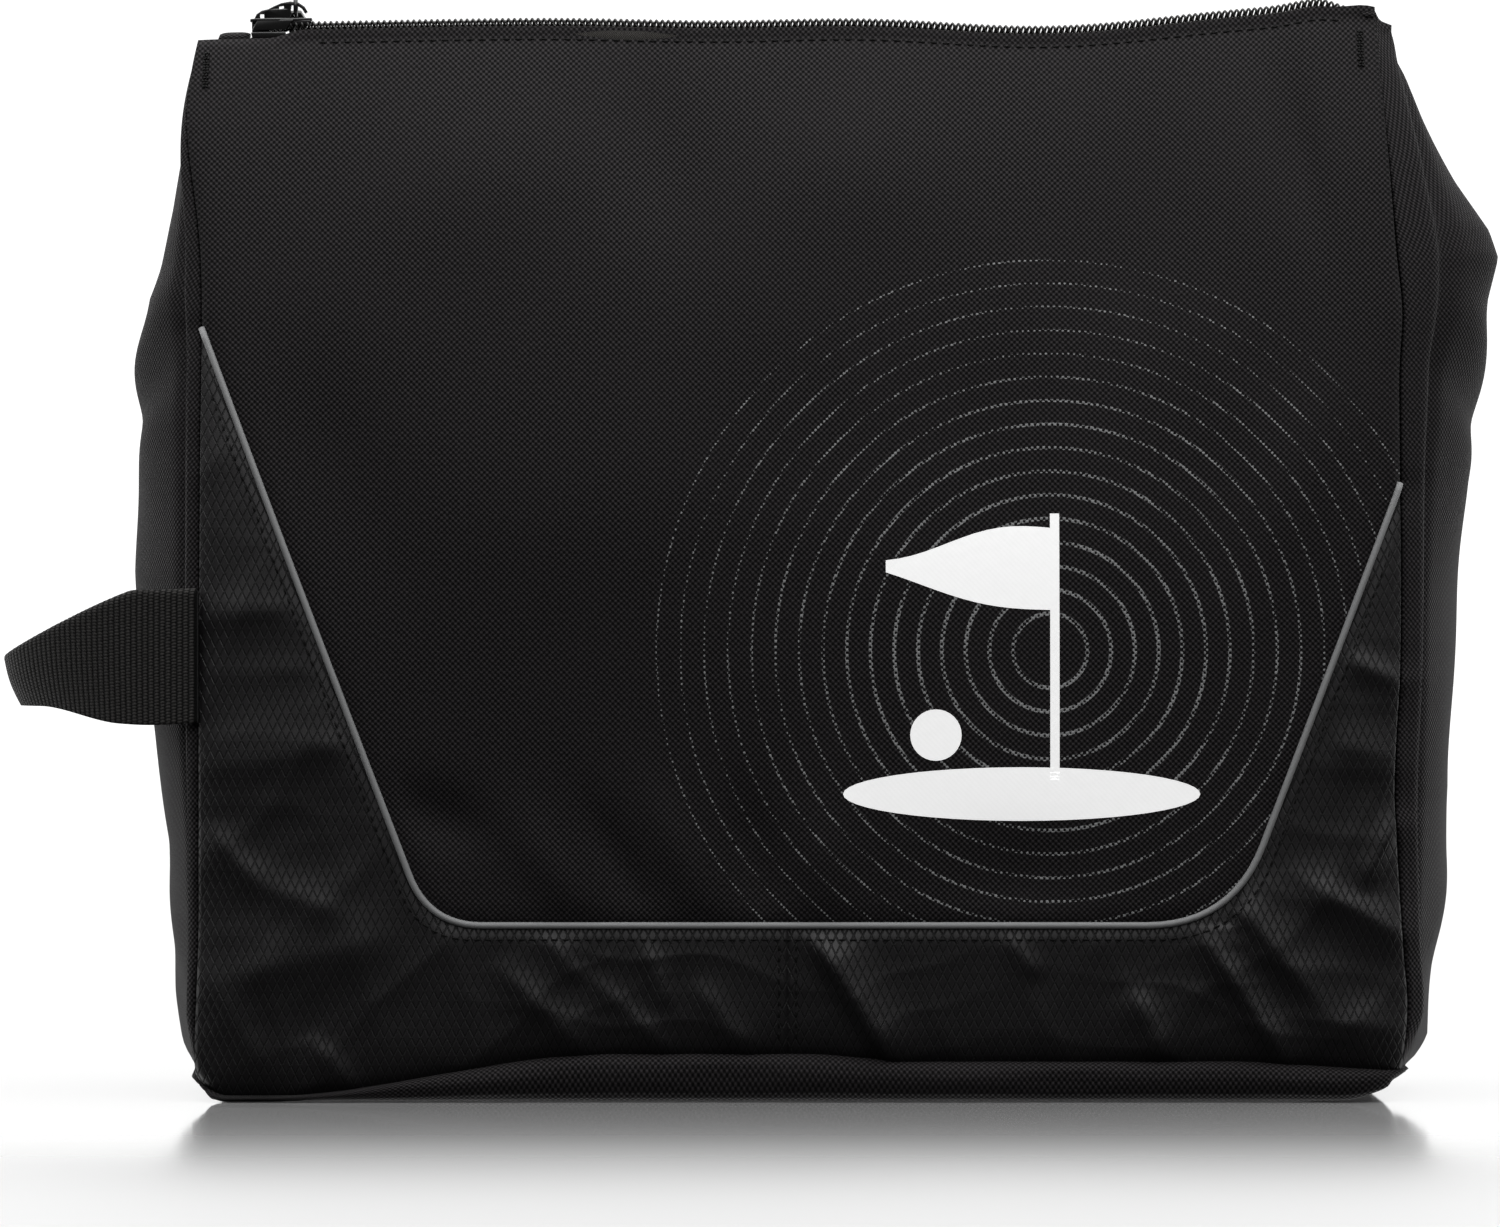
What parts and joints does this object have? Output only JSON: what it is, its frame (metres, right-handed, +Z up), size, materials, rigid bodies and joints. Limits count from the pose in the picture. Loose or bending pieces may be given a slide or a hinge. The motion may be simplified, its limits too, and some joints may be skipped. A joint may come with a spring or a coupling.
{
  "type": "golf shoe bag",
  "caption": "Upright soft bag for a pair of shoes: woven walls, ripstop lower front, piping, a zip along the top and a webbing loop on one end.",
  "frame": {"origin": "middle of the base's flat underside", "axes": "+Z up, the front with the piping faces -Y, +X to the right seen from the front, so the loop is at -X"},
  "size_m": [0.4267, 0.1166, 0.3155],
  "materials": {
    "oxford": "black plain-weave polyester, matt",
    "ripstop": "black diamond ripstop nylon with a soft sheen",
    "piping": "light grey satin piping",
    "zip_tape": "black-brown herringbone tape",
    "zip_coil": "black nylon coil",
    "slider_metal": "black lacquered zinc, glossy",
    "webbing": "black ribbed webbing"
  },
  "bodies": {
    "bag": {"base_panel": "oxford", "back_panel": "oxford", "left_gusset": "oxford", "right_gusset": "oxford", "back_zip_tape": "zip_tape", "back_zip_coil": "zip_coil", "left_end_tab": "zip_tape", "right_end_tab": "zip_tape", "handle_front_end": "webbing", "handle_back_end": "webbing"},
    "front_wall": {"front_panel": "oxford", "front_lower_left": "ripstop", "front_lower_right": "ripstop", "piping_cord": "piping", "front_zip_tape": "zip_tape", "front_zip_coil": "zip_coil"},
    "slider": {"slider_body": "slider_metal", "slider_crown": "slider_metal"},
    "pull": {"pull_tab": "slider_metal"},
    "grip": {"handle_grip": "webbing"}
  },
  "joints": [
    {"name": "mouth_open", "type": "hinge", "parent": "bag", "child": "front_wall", "pos_m": [0, -0.058, 0.011], "axis": [1, 0, 0], "range_deg": [0, 10], "deforming": ["front_zip_tape", "front_zip_coil"]},
    {"name": "zip_slide", "type": "slide", "parent": "bag", "child": "slider", "axis": [0.9998, 0, 0.0189], "range_m": [0, 0.2925], "deforming": ["back_zip_coil"]},
    {"name": "pull_swing", "type": "hinge", "parent": "slider", "child": "pull", "pos_m": [-0.1462, 0, 0.31221], "axis": [0.9998, 0, 0.0189], "range_deg": [0, 252]},
    {"name": "grip_lift", "type": "hinge", "parent": "bag", "child": "grip", "pos_m": [-0.182, 0, 0.125], "axis": [0, 1, 0], "range_deg": [0, 25]}
  ],
  "couplings": [
    {"joint": "zip_slide", "follows": "mouth_open", "m_per_rad": 1.675}
  ]
}
